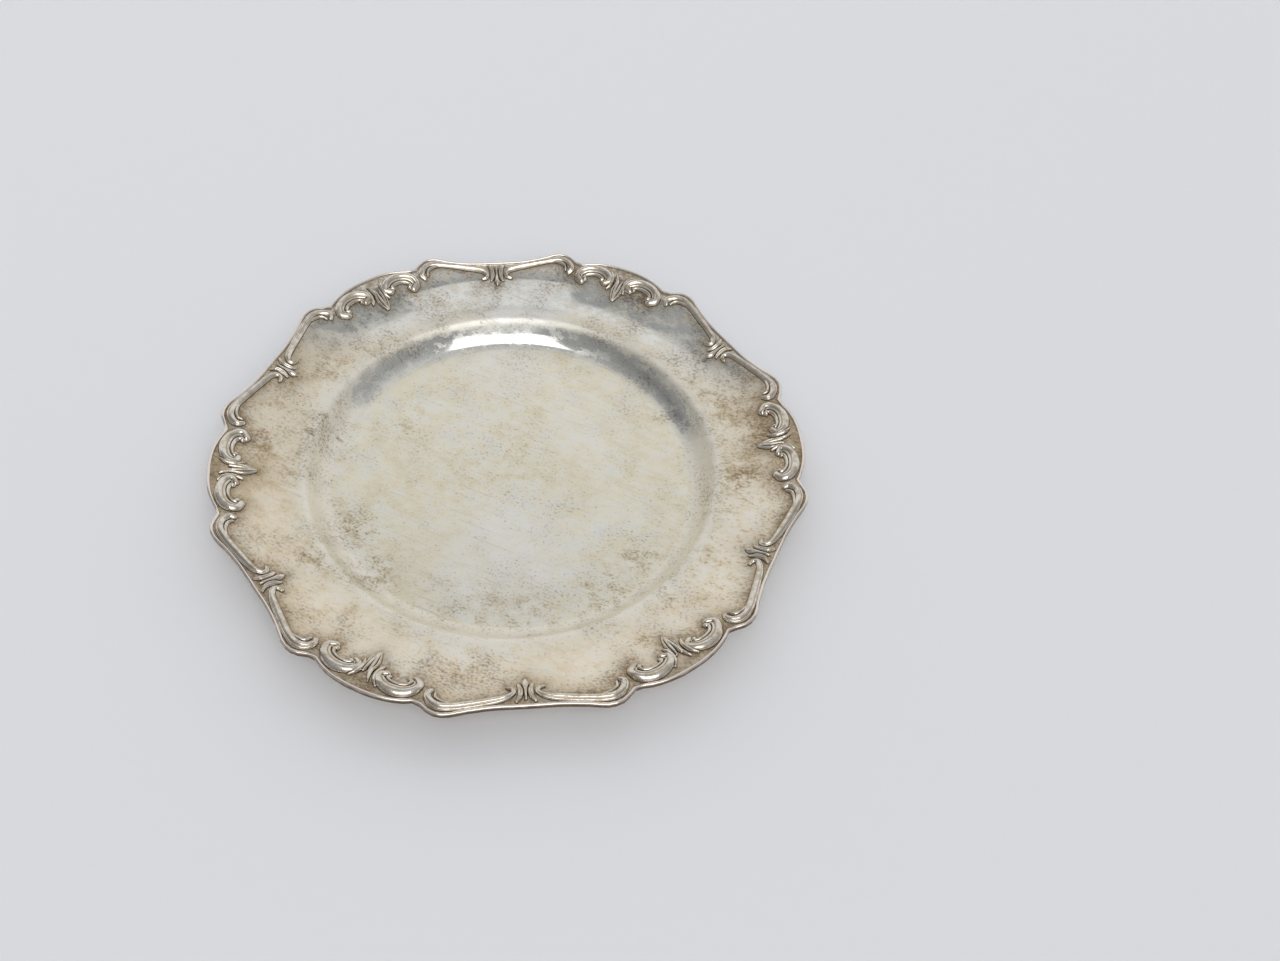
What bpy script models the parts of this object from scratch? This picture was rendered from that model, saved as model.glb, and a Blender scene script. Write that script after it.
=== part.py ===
"""Round silver tray with a lobed rim and a cast, scrolled border.

One sheet is raised into a flat floor, a steep bouge and a wide flat rim.  Its edge is bound
with a round wire, and the border is made of separate castings and half-round bars that stand
on the rim: six cartouches, six small palmettes between them, and a bar on each side of every
palmette.  Metres, +Z up, origin under the middle of the floor, one cartouche facing -Y.
"""

import math

import bmesh
import bpy
from mathutils import Vector

# Sheet
EDGE_RADIUS = 0.1172          # farthest reach of the rim, at the shoulders beside each notch
SHEET_THICKNESS = 0.0010      # added under the drawn profile
FLOOR_RADIUS = 0.0705         # flat part of the floor
BOUGE_WIDTH = 0.0115          # plan width of the curved wall around the floor
BOUGE_HEIGHT = 0.0093
RIM_RISE = 0.0021             # from the top of the bouge to the foot of the border
BORDER_RISE = 0.0043          # from the foot of the border to the edge
BORDER_FOOT_SHARE = 0.842     # radius of the border's foot, as a share of the edge radius
BOUGE_STEPS = 5

# Edge wire and border
WIRE_DIAMETER = 0.0013
CLEARANCE = 0.0003            # left between a soldered piece and the sheet under it
BAR_WIDTH = 0.0026
BAR_LIP_WIDTH = 0.0015
SCROLL_WIDTH = 0.0037
SCROLL_HALF_SPAN = 0.0064     # from the middle of a scroll to the middle of its leg
SCROLL_RISE = 0.0052          # from the legs' foot to the middle of the arch
SCROLL_LIP_WIDTH = 0.0018
SCROLL_LIP_INSET = 0.0023     # from the middle of the arch in to the middle of its lip
HUSK_WIDTH = 0.0017
LEAF_WIDTH = 0.0038
BUD_WIDTH = 0.0027
PETAL_WIDTH = 0.0017
GROUND_THICKNESS = 0.0005     # web that joins the strokes of one casting
SINK = 0.0001                 # how far the middle of a half-round stroke lies under its seat
THIN_STROKE = 0.0017          # strokes up to this width are drawn with fewer sides

# The border repeats six times, and each repeat is a mirrored half on either side of its axis
REPEATS = 6
REPEAT_ANGLE = math.tau / REPEATS
HALF_ANGLE = REPEAT_ANGLE / 2
FIRST_AXIS = -math.pi / 2     # the first cartouche faces -Y

# Hand work: degrees that each cartouche, and the palmette after it, sits off even spacing
TURNS = (-0.75, -0.85, -0.10, -0.30, 0.45, 0.40, 1.25, 0.60, -0.40, -0.20, -0.10, -0.40)

# Rim outline from a cartouche's axis to a palmette's: share of the half angle, of the radius
OUTLINE_SHARES = (
    (0.000, 0.9965), (0.100, 0.9955), (0.200, 0.9895), (0.290, 0.9780), (0.345, 0.9680),
    (0.390, 0.9800), (0.440, 0.9950), (0.500, 1.0000), (0.560, 0.9940), (0.650, 0.9740),
    (0.770, 0.9570), (0.880, 0.9500), (1.000, 0.9485),
)

# Strokes: share of the half angle, of the edge radius, and of the stroke's own width
BAR_SHARES = (
    (0.892, 0.878, 0.45), (0.918, 0.884, 0.60), (0.925, 0.897, 0.68), (0.897, 0.911, 0.76),
    (0.845, 0.922, 0.86), (0.750, 0.936, 0.92), (0.650, 0.951, 0.94), (0.567, 0.964, 1.00),
    (0.503, 0.970, 1.06), (0.452, 0.965, 1.04), (0.414, 0.950, 0.94), (0.400, 0.931, 0.80),
    (0.414, 0.917, 0.60),
)
BAR_LIP_SHARES = (
    (0.560, 0.953, 0.70), (0.500, 0.951, 1.00), (0.458, 0.941, 1.00), (0.446, 0.924, 0.70),
)
HUSK_SHARES = ((0.090, 0.959, 0.50), (0.066, 0.941, 0.95), (0.056, 0.919, 1.10),
               (0.060, 0.898, 0.95), (0.073, 0.884, 0.50))
STEM_SHARES = ((0.022, 0.951, 0.50), (0.014, 0.927, 0.85), (0.020, 0.903, 0.95),
               (0.036, 0.880, 0.50))
LEAF_SHARES = ((-0.014, 0.921, 0.40), (-0.010, 0.899, 0.78), (-0.010, 0.874, 1.00),
               (-0.012, 0.857, 0.66), (-0.014, 0.841, 0.16))
LEAF_GROUND_SHARES = ((0.108, 0.940), (-0.108, 0.940), (-0.108, 0.905), (-0.066, 0.884),
                      (-0.024, 0.866), (0.004, 0.866), (0.046, 0.884), (0.108, 0.905))
BUD_SHARES = ((0.000, 0.921, 0.42), (0.000, 0.897, 0.50), (0.000, 0.873, 0.80),
              (0.000, 0.860, 1.00), (0.000, 0.848, 0.60), (0.000, 0.842, 0.20))
PETAL_SHARES = ((0.058, 0.929, 0.60), (0.036, 0.910, 1.00), (0.033, 0.885, 1.05),
                (0.048, 0.866, 0.55))
PALMETTE_GROUND_SHARES = ((0.052, 0.920), (-0.052, 0.920), (-0.030, 0.872), (0.030, 0.872))

# A scroll is an arch whose ends turn in: share of the half angle, and of the edge radius
SCROLL_AXIS_SHARE = 0.212
SCROLL_FOOT_SHARE = 0.911
SCROLL_OVERTURN = math.radians(28)
SCROLL_TUCK_SHARE = 0.22      # how much the arch has shrunk at each end
SCROLL_TIP_SHARE = 0.58       # width at each end
SCROLL_STEPS = 13
SCROLL_LIP_STEPS = 7
POINTS_PER_SPAN = 2

# Drawing
SHARPEST_SMOOTH_ANGLE = math.radians(50)
ROUND_SIDES = 2               # rows between the quarters of a round section
THIN_SIDES = 1                # the same for a thin stroke and for the wire
WELD_SHARE = 0.001            # of a small length: points closer than this are one point


def remove_everything():
    for thing in list(bpy.data.objects):
        bpy.data.objects.remove(thing, do_unlink=True)
    for collection in list(bpy.data.collections):
        bpy.data.collections.remove(collection)


def new_collection(name):
    collection = bpy.data.collections.new(name)
    bpy.context.scene.collection.children.link(collection)
    return collection


def silver(name, colour, roughness):
    """A Principled metal for one piece."""
    material = bpy.data.materials.new(name)
    material.use_nodes = True
    shader = material.node_tree.nodes["Principled BSDF"]
    shader.inputs["Base Color"].default_value = (*colour, 1.0)
    shader.inputs["Metallic"].default_value = 1.0
    shader.inputs["Roughness"].default_value = roughness
    material.diffuse_color = (*colour, 1.0)
    return material


def smooth_share(share):
    """An S that leaves 0 and reaches 1 without a corner."""
    return share * share * (3 - 2 * share)


def catmull_rom(before, start, end, after, share):
    """Point between start and end on the smooth curve through all four."""
    square = share * share
    cube = square * share
    return [
        (2 * b + (c - a) * share + (2 * a - 5 * b + 4 * c - d) * square
         + (3 * b - a - 3 * c + d) * cube) / 2
        for a, b, c, d in zip(before, start, end, after)
    ]


def smooth_path(points, per_span):
    """The points, with more of them read from a smooth curve between each pair."""
    result = []
    last = len(points) - 1
    for index in range(last):
        before = points[max(index - 1, 0)]
        after = points[min(index + 2, last)]
        for step in range(per_span):
            result.append(catmull_rom(before, points[index], points[index + 1], after,
                                      step / per_span))
    result.append(list(points[last]))
    return result


def sheet_profile():
    """Radius and height of the sheet's top, from the floor's edge out to the border's foot."""
    rings = []
    for step in range(BOUGE_STEPS + 1):
        share = step / BOUGE_STEPS
        rings.append((FLOOR_RADIUS + BOUGE_WIDTH * share,
                      SHEET_THICKNESS + BOUGE_HEIGHT * smooth_share(share)))
    foot_radius = EDGE_RADIUS * BORDER_FOOT_SHARE
    foot_height = SHEET_THICKNESS + BOUGE_HEIGHT + RIM_RISE
    rings.append((foot_radius, foot_height))
    return rings


def top_height(radius):
    """Height of the sheet's top at a radius on the rim: a cone from the border's foot out."""
    foot_radius, foot_height = sheet_profile()[-1]
    slope = BORDER_RISE / (EDGE_RADIUS - foot_radius)
    return foot_height + slope * (radius - foot_radius)


def set_by_hand(angle):
    """Where the maker's hand put what an evenly spaced border would have at this angle."""
    place = (angle - FIRST_AXIS) / HALF_ANGLE
    before = math.floor(place)
    share = smooth_share(place - before)
    turn = TURNS[before % len(TURNS)]
    turn += (TURNS[(before + 1) % len(TURNS)] - turn) * share
    return angle + math.radians(turn)


def outline_points(inset):
    """The rim's outline all round, moved in by an inset, as plan points."""
    half = [(share * HALF_ANGLE, radius * EDGE_RADIUS) for share, radius in OUTLINE_SHARES]
    mirrored = [(-angle, radius) for angle, radius in reversed(half[1:-1])]
    whole = []
    for repeat in range(REPEATS):
        axis = FIRST_AXIS + repeat * REPEAT_ANGLE
        for angle, radius in mirrored + half:
            turned = set_by_hand(axis + angle)
            whole.append(Vector((radius * math.cos(turned), radius * math.sin(turned))))
    moved = []
    for index, point in enumerate(whole):
        along = whole[(index + 1) % len(whole)] - whole[index - 1]
        inwards = Vector((-along.y, along.x)).normalized()
        moved.append(point + inwards * inset)
    return moved


def make_sheet(collection):
    """The raised sheet: a disc for the floor, grown outwards ring by ring, then thickened."""
    edge = outline_points(WIRE_DIAMETER + CLEARANCE)
    mesh = bpy.data.meshes.new("tray_sheet")
    shell = bmesh.new()
    rings = sheet_profile()
    floor = [shell.verts.new((rings[0][0] * point.normalized().x,
                              rings[0][0] * point.normalized().y, rings[0][1]))
             for point in edge]
    shell.faces.new(floor)
    inner = floor
    for radius, height in rings[1:]:
        inner = grow_ring(shell, inner, [point.normalized() * radius for point in edge],
                          [height] * len(edge))
    grow_ring(shell, inner, edge, [top_height(point.length) for point in edge])
    shell.to_mesh(mesh)
    shell.free()
    sheet = bpy.data.objects.new("tray_sheet", mesh)
    collection.objects.link(sheet)
    wall = sheet.modifiers.new("sheet thickness", "SOLIDIFY")
    wall.thickness = SHEET_THICKNESS
    wall.offset = -1
    wall.use_even_offset = True
    mesh.shade_smooth()
    return sheet


def grow_ring(shell, inner, places, heights):
    """A band of faces from the last ring to a new one."""
    outer = [shell.verts.new((place.x, place.y, height))
             for place, height in zip(places, heights)]
    for index in range(len(inner)):
        following = (index + 1) % len(inner)
        shell.faces.new((inner[index], outer[index], outer[following], inner[following]))
    return outer


def make_edge_wire(collection):
    """The round wire that binds the sheet's edge, level with the middle of the sheet."""
    curve = bpy.data.curves.new("edge_wire", "CURVE")
    curve.dimensions = "3D"
    curve.bevel_depth = WIRE_DIAMETER / 2
    curve.bevel_resolution = THIN_SIDES
    path = outline_points(WIRE_DIAMETER / 2)
    spline = curve.splines.new("POLY")
    spline.points.add(len(path) - 1)
    for point, place in zip(spline.points, path):
        height = top_height(place.length) - SHEET_THICKNESS / 2
        point.co = (place.x, place.y, height, 1.0)
    spline.use_cyclic_u = True
    wire = bpy.data.objects.new("edge_wire", curve)
    collection.objects.link(wire)
    return wire


def polar_point(angle_share, radius_share):
    """Plan point of a repeat whose axis lies along +X."""
    angle = angle_share * HALF_ANGLE
    radius = radius_share * EDGE_RADIUS
    return (radius * math.cos(angle), radius * math.sin(angle))


def stroke_mesh(points, width):
    """A closed round stroke along plan points, each with its own share of the width."""
    curve = bpy.data.curves.new("stroke", "CURVE")
    curve.dimensions = "3D"
    curve.bevel_depth = width / 2
    curve.bevel_resolution = ROUND_SIDES if width > THIN_STROKE else THIN_SIDES
    curve.use_fill_caps = True
    spline = curve.splines.new("POLY")
    spline.points.add(len(points) - 1)
    for point, (x, y, share) in zip(spline.points, points):
        point.co = (x, y, -SINK, 1.0)
        point.radius = share
    return welded_mesh(curve)


def ground_mesh(corner_shares):
    """The thin web under the strokes of a casting."""
    curve = bpy.data.curves.new("ground", "CURVE")
    curve.dimensions = "2D"
    curve.fill_mode = "BOTH"
    curve.extrude = GROUND_THICKNESS
    spline = curve.splines.new("POLY")
    spline.points.add(len(corner_shares) - 1)
    for point, (angle_share, radius_share) in zip(spline.points, corner_shares):
        point.co = (*polar_point(angle_share, radius_share), 0.0, 1.0)
    spline.use_cyclic_u = True
    return welded_mesh(curve)


def welded_mesh(curve):
    """A curve as a closed mesh, its caps joined on."""
    drawn = bpy.data.objects.new(curve.name, curve)
    bpy.context.scene.collection.objects.link(drawn)
    graph = bpy.context.evaluated_depsgraph_get()
    mesh = bpy.data.meshes.new_from_object(drawn.evaluated_get(graph))
    bpy.data.objects.remove(drawn, do_unlink=True)
    shell = bmesh.new()
    shell.from_mesh(mesh)
    bmesh.ops.remove_doubles(shell, verts=shell.verts, dist=GROUND_THICKNESS * WELD_SHARE)
    bmesh.ops.recalc_face_normals(shell, faces=shell.faces)
    shell.to_mesh(mesh)
    shell.free()
    return mesh


def shaped_stroke(shares, width, side=1):
    """A stroke drawn through its shares, or mirrored across the axis for side -1."""
    points = [(*polar_point(side * angle, radius), share) for angle, radius, share in shares]
    return stroke_mesh(smooth_path(points, POINTS_PER_SPAN), width)


def scroll_stroke(side, width, inset, overturn, steps):
    """An arch that opens towards the middle of the tray, with both ends turned in."""
    foot = SCROLL_FOOT_SHARE * EDGE_RADIUS
    points = []
    for step in range(steps):
        along = step / (steps - 1)
        turn = (math.pi + 2 * overturn) * along - overturn
        over = max(-turn, turn - math.pi, 0) / SCROLL_OVERTURN
        size = 1 - SCROLL_TUCK_SHARE * over
        radius = foot + (SCROLL_RISE - inset) * size * math.sin(turn)
        reach = (SCROLL_HALF_SPAN - inset) * size * math.cos(turn) / foot
        angle = side * (SCROLL_AXIS_SHARE * HALF_ANGLE + reach)
        swell = SCROLL_TIP_SHARE + (1 - SCROLL_TIP_SHARE) * math.sin(math.pi * along)
        points.append((radius * math.cos(angle), radius * math.sin(angle), swell))
    return stroke_mesh(points, width)


def joined_on_plane(name, meshes, cutters):
    """The union of the meshes, cut flat at height zero, as one closed mesh."""
    base = bpy.data.objects.new(name + "_blank", meshes[0])
    cutters.objects.link(base)
    for number, mesh in enumerate(meshes[1:]):
        tool = bpy.data.objects.new(f"{name}_stroke_{number}", mesh)
        cutters.objects.link(tool)
        tool.hide_render = True
        tool.display_type = "WIRE"
        union = base.modifiers.new("join", "BOOLEAN")
        union.operation = "UNION"
        union.object = tool
    graph = bpy.context.evaluated_depsgraph_get()
    mesh = bpy.data.meshes.new_from_object(base.evaluated_get(graph))
    bpy.data.objects.remove(base, do_unlink=True)
    mesh.name = name
    shell = bmesh.new()
    shell.from_mesh(mesh)
    everything = shell.verts[:] + shell.edges[:] + shell.faces[:]
    cut = bmesh.ops.bisect_plane(shell, geom=everything, dist=SINK * WELD_SHARE,
                                 plane_co=(0, 0, 0), plane_no=(0, 0, 1), clear_inner=True)
    border = [item for item in cut["geom_cut"] if isinstance(item, bmesh.types.BMEdge)]
    bmesh.ops.triangle_fill(shell, edges=border, use_beauty=True, normal=(0, 0, -1))
    bmesh.ops.recalc_face_normals(shell, faces=shell.faces)
    shell.to_mesh(mesh)
    shell.free()
    return mesh


def seat_on_rim(mesh, axis):
    """Sets a flat-backed mesh about an axis, its back following the rim with a clearance."""
    for vertex in mesh.vertices:
        radius = math.hypot(vertex.co.x, vertex.co.y)
        angle = set_by_hand(axis + math.atan2(vertex.co.y, vertex.co.x))
        vertex.co.x = radius * math.cos(angle)
        vertex.co.y = radius * math.sin(angle)
        vertex.co.z += top_height(radius) + CLEARANCE
    mesh.shade_smooth()
    mesh.set_sharp_from_angle(angle=SHARPEST_SMOOTH_ANGLE)


def place_repeats(name, pattern, angle, collection, axle, material):
    """One piece for each repeat of a border pattern, seated at its place round the rim."""
    for repeat in range(REPEATS):
        mesh = pattern.copy()
        mesh.name = f"{name}_{repeat + 1}"
        mesh.materials.append(material)
        seat_on_rim(mesh, FIRST_AXIS + repeat * REPEAT_ANGLE + angle)
        piece = bpy.data.objects.new(mesh.name, mesh)
        piece.parent = axle
        collection.objects.link(piece)
    bpy.data.meshes.remove(pattern)


def make_cartouche_mesh(cutters):
    """Two facing scrolls with a leaf and its husks between them, cast in one piece."""
    strokes = [
        ground_mesh(LEAF_GROUND_SHARES),
        shaped_stroke(LEAF_SHARES, LEAF_WIDTH),
        shaped_stroke(STEM_SHARES, HUSK_WIDTH),
    ]
    for side in (1, -1):
        strokes.append(shaped_stroke(HUSK_SHARES, HUSK_WIDTH, side))
        strokes.append(scroll_stroke(side, SCROLL_WIDTH, 0, SCROLL_OVERTURN, SCROLL_STEPS))
        strokes.append(scroll_stroke(side, SCROLL_LIP_WIDTH, SCROLL_LIP_INSET, 0,
                                     SCROLL_LIP_STEPS))
    return joined_on_plane("cartouche", strokes, cutters)


def make_palmette_mesh(cutters):
    """The small bud between two petals, on the axis between two cartouches."""
    strokes = [
        ground_mesh(PALMETTE_GROUND_SHARES),
        shaped_stroke(BUD_SHARES, BUD_WIDTH),
        shaped_stroke(PETAL_SHARES, PETAL_WIDTH),
        shaped_stroke(PETAL_SHARES, PETAL_WIDTH, side=-1),
    ]
    return joined_on_plane("palmette", strokes, cutters)


def make_bar_mesh(name, side, cutters):
    """A half-round bar with a volute at one end, and a hook with a lip inside at the other."""
    strokes = [
        shaped_stroke(BAR_SHARES, BAR_WIDTH, side),
        shaped_stroke(BAR_LIP_SHARES, BAR_LIP_WIDTH, side),
    ]
    return joined_on_plane(name, strokes, cutters)


def build_tray():
    remove_everything()
    tray = new_collection("tray")
    cutters = new_collection("cutters")
    sheet_silver = silver("sheet silver", (0.60, 0.57, 0.49), 0.34)
    cast_silver = silver("cast silver", (0.66, 0.63, 0.56), 0.22)
    wire_silver = silver("wire silver", (0.78, 0.75, 0.68), 0.16)

    axle = bpy.data.objects.new("tray_axis", None)
    tray.objects.link(axle)

    sheet = make_sheet(tray)
    sheet.data.materials.append(sheet_silver)
    sheet.parent = axle

    wire = make_edge_wire(tray)
    wire.data.materials.append(wire_silver)
    wire.parent = axle

    repeated = (
        ("cartouche", make_cartouche_mesh(cutters), 0.0),
        ("palmette", make_palmette_mesh(cutters), HALF_ANGLE),
        ("left_bar", make_bar_mesh("left_bar", 1, cutters), 0.0),
        ("right_bar", make_bar_mesh("right_bar", -1, cutters), 0.0),
    )
    for name, pattern, angle in repeated:
        place_repeats(name, pattern, angle, tray, axle, cast_silver)


build_tray()
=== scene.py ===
# %% [markdown]
# # A lobed silver tray with a struck border
# This lesson dresses a small silver tray, about 233 mm across. Its sheet was sunk in the middle,
# its border pieces were struck in a die and soldered on, and a round wire binds its edge.
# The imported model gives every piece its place. Here each plain solid gets the fine form and the
# old, half tarnished surface that the eye expects.

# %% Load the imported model
import math

import bpy
import numpy as np
from mathutils import Matrix, Vector, noise


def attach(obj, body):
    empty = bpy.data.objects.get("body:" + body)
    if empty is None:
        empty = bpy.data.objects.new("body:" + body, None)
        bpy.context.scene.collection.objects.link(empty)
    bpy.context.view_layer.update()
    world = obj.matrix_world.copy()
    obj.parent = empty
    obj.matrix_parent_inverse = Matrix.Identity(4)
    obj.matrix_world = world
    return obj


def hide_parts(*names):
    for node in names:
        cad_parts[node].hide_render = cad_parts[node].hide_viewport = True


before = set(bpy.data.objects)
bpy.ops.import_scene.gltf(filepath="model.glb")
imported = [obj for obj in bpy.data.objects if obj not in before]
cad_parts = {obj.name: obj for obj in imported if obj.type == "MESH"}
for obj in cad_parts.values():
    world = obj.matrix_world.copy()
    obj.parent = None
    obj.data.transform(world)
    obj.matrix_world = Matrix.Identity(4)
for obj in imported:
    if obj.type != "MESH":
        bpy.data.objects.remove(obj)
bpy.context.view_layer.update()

MM = 0.001
print("pieces in the packed model:", len(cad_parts))

# %% [markdown]
# ## The camera
# The camera stands where the photograph was taken: high in front of the tray, a little to its
# right, and tipped slightly. Place, direction and lens were worked out from the tray's outline,
# so that the lobes of the border fall where the photograph shows them.

# %% Set up the camera
CAMERA_PLACE = Vector((155.13, -295.54, 425.83)) * MM
CAMERA_YAW = math.radians(18.94)
CAMERA_PITCH = math.radians(90 - 51.76)
CAMERA_ROLL = math.radians(5.64)

lens = bpy.data.cameras.new("camera")
lens.lens = 37.65
lens.sensor_width = 36.0
lens.clip_start = 0.01
camera = bpy.data.objects.new("camera", lens)
bpy.context.scene.collection.objects.link(camera)
camera.matrix_world = (
    Matrix.Translation(CAMERA_PLACE)
    @ Matrix.Rotation(CAMERA_YAW, 4, "Z")
    @ Matrix.Rotation(CAMERA_PITCH, 4, "X")
    @ Matrix.Rotation(CAMERA_ROLL, 4, "Z")
)
bpy.context.scene.camera = camera
print("camera is", round(CAMERA_PLACE.length / MM), "mm from the middle of the tray")

# %% [markdown]
# ## The shape of the sheet
# The sheet's form is written down once, as the height of its top at a radius and an angle, because
# the border pieces and the wire sit on it. A flat floor meets a steep wall, the bouge. Outside it
# the marly rises gently, and more steeply towards the border. Beside the palmette at the far side
# it runs almost straight up to the bars, as the reflections in the photograph show. Under the
# border the sheet crests and then falls towards the edge. The six lobes are one curve, repeated and
# mirrored, and turned by up to 1.25 degrees here and there, as a border laid out by hand is.

# %% Sizes of the sheet, and the outline of half a lobe
# Each row of the outline is a share of the way from the middle of a lobe to the gap beside it, and
# a share of the edge's radius.
EDGE_RADIUS = 117.2 * MM
SHEET_THICKNESS = 1.0 * MM
FLOOR_RADIUS = 70.5 * MM
BOUGE_WIDTH = 11.5 * MM
BOUGE_HEIGHT = 9.3 * MM
RIM_RISE = 2.1 * MM
BORDER_RISE = 4.3 * MM
FOOT_RADIUS = EDGE_RADIUS * 0.842
FOOT_HEIGHT = SHEET_THICKNESS + BOUGE_HEIGHT + RIM_RISE
WIRE_DIAMETER = 1.3 * MM
REPEATS = 6
HALF_ANGLE = math.radians(30)
FIRST_AXIS = math.radians(-90)
TURNS = np.radians([-0.75, -0.85, -0.10, -0.30, 0.45, 0.40, 1.25, 0.60, -0.40, -0.20, -0.10, -0.40])
OUTLINE_SHARES = [
    (0.000, 0.9965), (0.100, 0.9955), (0.200, 0.9895), (0.290, 0.9780), (0.345, 0.9680),
    (0.390, 0.9800), (0.440, 0.9950), (0.500, 1.0000), (0.560, 0.9940), (0.650, 0.9740),
    (0.770, 0.9570), (0.880, 0.9500), (1.000, 0.9485),
]
print("lobes:", REPEATS, "and half a lobe spans", round(math.degrees(HALF_ANGLE)), "degrees")

# %% Smooth steps and smooth paths
def smooth_step(share):
    """An S from 0 to 1, flat outside."""
    share = np.clip(share, 0, 1)
    return share * share * (3 - 2 * share)


def fade(value, start, width):
    """A smooth step from 0 at the start to 1 one width further on."""
    return smooth_step((value - start) / width)


def smooth_path(points, per_span=8):
    """More points along the smooth curve through all the points."""
    points = np.array(points, float)
    padded = np.vstack([points[:1], points, points[-1:]])
    path = []
    for before, start, end, after in zip(padded, padded[1:], padded[2:], padded[3:]):
        for share in np.arange(per_span) / per_span:
            path.append((2 * start + (end - before) * share
                         + (2 * before - 5 * start + 4 * end - after) * share ** 2
                         + (3 * start - before - 3 * end + after) * share ** 3) / 2)
    path.append(points[-1])
    return np.array(path)


outline_curve = smooth_path(OUTLINE_SHARES)
print("points along half a lobe:", len(outline_curve))

# %% The lobed outline, as the maker's hand set it
def axis_share(angle):
    """0 on the axis of a lobe, 1 half way to the next one."""
    turned = (angle - FIRST_AXIS) / (2 * HALF_ANGLE)
    return 2 * np.abs(turned - np.round(turned))


def set_by_hand(angle):
    """Where the maker's hand put what an evenly spaced border would have at this angle."""
    place = (angle - FIRST_AXIS) / HALF_ANGLE
    before = np.floor(place).astype(int)
    share = smooth_step(place - before)
    turn = TURNS[before % len(TURNS)] * (1 - share) + TURNS[(before + 1) % len(TURNS)] * share
    return angle + turn


def polar(radius, angle):
    """Plan points from radii and evenly spaced angles, turned as the maker set them."""
    turned = set_by_hand(np.asarray(angle))
    return np.stack([radius * np.cos(turned), radius * np.sin(turned)], axis=-1)


def outline_radius(angle):
    """The lobed outline's radius at an angle."""
    return EDGE_RADIUS * np.interp(axis_share(angle), outline_curve[:, 0], outline_curve[:, 1])


print("outline from", round(float(outline_curve[:, 1].min() * EDGE_RADIUS / MM), 1), "to",
      round(float(outline_curve[:, 1].max() * EDGE_RADIUS / MM), 1), "mm from the middle")

# %% Sizes of the wall, the marly and the edge
COVE_WIDTH = 8.4 * MM
MARLY_FOOT_SLOPE = math.tan(math.radians(3.8))
STEEPEST = (2 * BOUGE_HEIGHT - MARLY_FOOT_SLOPE * (BOUGE_WIDTH - COVE_WIDTH)) / BOUGE_WIDTH
SHEET_EDGE_INSET = 0.75 * MM
CREST_RISE = 0.45 * MM
EDGE_FALL = 1.15 * MM
CREST_START, CREST_SPAN = 0.15, 0.50
FALL_START, FALL_SPAN, FALL_LIMIT, FALL_POWER = 0.70, 0.30, 1.2, 1.1
MARLY_POWER = 3.2
FLAT_AXIS = math.radians(121.5)
FLAT_HALF_ANGLE = math.radians(21.5)
FLAT_SOFTNESS = math.radians(3.5)
FLAT_SLOPE = math.tan(math.radians(6.2))
FLAT_LEAD_IN = 6.0 * MM
FLAT_END = 102.0 * MM
FLAT_BLEND = 9.0 * MM
print("the wall is", round(math.degrees(math.atan(STEEPEST))), "degrees steep at most")

# %% Height of the sheet's top
def cone_height(radius):
    """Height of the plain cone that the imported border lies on."""
    slope = BORDER_RISE / (EDGE_RADIUS - FOOT_RADIUS)
    return FOOT_HEIGHT + slope * (radius - FOOT_RADIUS)


def bouge_height(radius):
    """The wall: a hollow that steepens from the floor, and a short round turn into the marly."""
    hollow = np.clip(radius - FLOOR_RADIUS, 0, COVE_WIDTH)
    turn_width = BOUGE_WIDTH - COVE_WIDTH
    turn = np.clip(radius - FLOOR_RADIUS - COVE_WIDTH, 0, turn_width)
    change = (MARLY_FOOT_SLOPE - STEEPEST) / turn_width
    return (STEEPEST * hollow ** 2 / (2 * COVE_WIDTH)
            + STEEPEST * turn + change * turn ** 2 / 2)


def flatter(angle):
    """1 where the marly runs straight up to the bars, beside one palmette, and 0 elsewhere."""
    off = np.abs(angle - FLAT_AXIS)
    return 1 - fade(off, FLAT_HALF_ANGLE - FLAT_SOFTNESS, 2 * FLAT_SOFTNESS)


def sheet_height(radius, angle):
    """Height of the sheet's top at a radius and an evenly spaced angle."""
    inner = SHEET_THICKNESS + bouge_height(radius)
    start = FLOOR_RADIUS + BOUGE_WIDTH
    width = FOOT_RADIUS - start
    share = np.clip((radius - start) / width, 0, 1)
    straight = MARLY_FOOT_SLOPE * width
    inner = inner + straight * share + (RIM_RISE - straight) * share ** MARLY_POWER
    edge = outline_radius(angle) - SHEET_EDGE_INSET
    across = (radius - FOOT_RADIUS) / (edge - FOOT_RADIUS)
    crest = CREST_RISE * fade(across, CREST_START, CREST_SPAN)
    fall = EDGE_FALL * np.clip((across - FALL_START) / FALL_SPAN, 0, FALL_LIMIT) ** FALL_POWER
    outer = cone_height(radius) + crest - fall
    plain = np.where(radius < FOOT_RADIUS, inner, outer)
    line = SHEET_THICKNESS + BOUGE_HEIGHT + FLAT_SLOPE * (radius - start)
    flat = flatter(angle) * fade(radius, start, FLAT_LEAD_IN)
    flat = flat * (1 - fade(radius, FLAT_END, FLAT_BLEND))
    return plain + (line - plain) * flat


lobe_height = float(sheet_height(EDGE_RADIUS, FIRST_AXIS + HALF_ANGLE / 2))
print("the sheet's edge is", round(lobe_height / MM, 1), "mm high where a lobe reaches out most")

# %% [markdown]
# ## Spinning the sheet
# The real sheet is a disc that was hammered or pressed over a form. A line of points is grown from
# the middle outwards and spun once round. No operator pulls a ring out to a scalloped line, so the
# points are then moved in code. The hand of the smith shows as a slight unevenness, and a solidify
# modifier gives the sheet its thickness.

# %% Helpers for modelling by hand
def only(piece):
    """Makes one object the only selected one."""
    if bpy.context.object and bpy.context.object.mode != "OBJECT":
        bpy.ops.object.mode_set(mode="OBJECT")
    bpy.ops.object.select_all(action="DESELECT")
    piece.select_set(True)
    bpy.context.view_layer.objects.active = piece


def new_primitive(operator, name, **settings):
    """Adds a primitive with nothing else selected, and names it."""
    bpy.ops.object.select_all(action="DESELECT")
    operator(**settings)
    piece = bpy.context.object
    piece.name = name
    piece.data.name = name
    return piece


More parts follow.
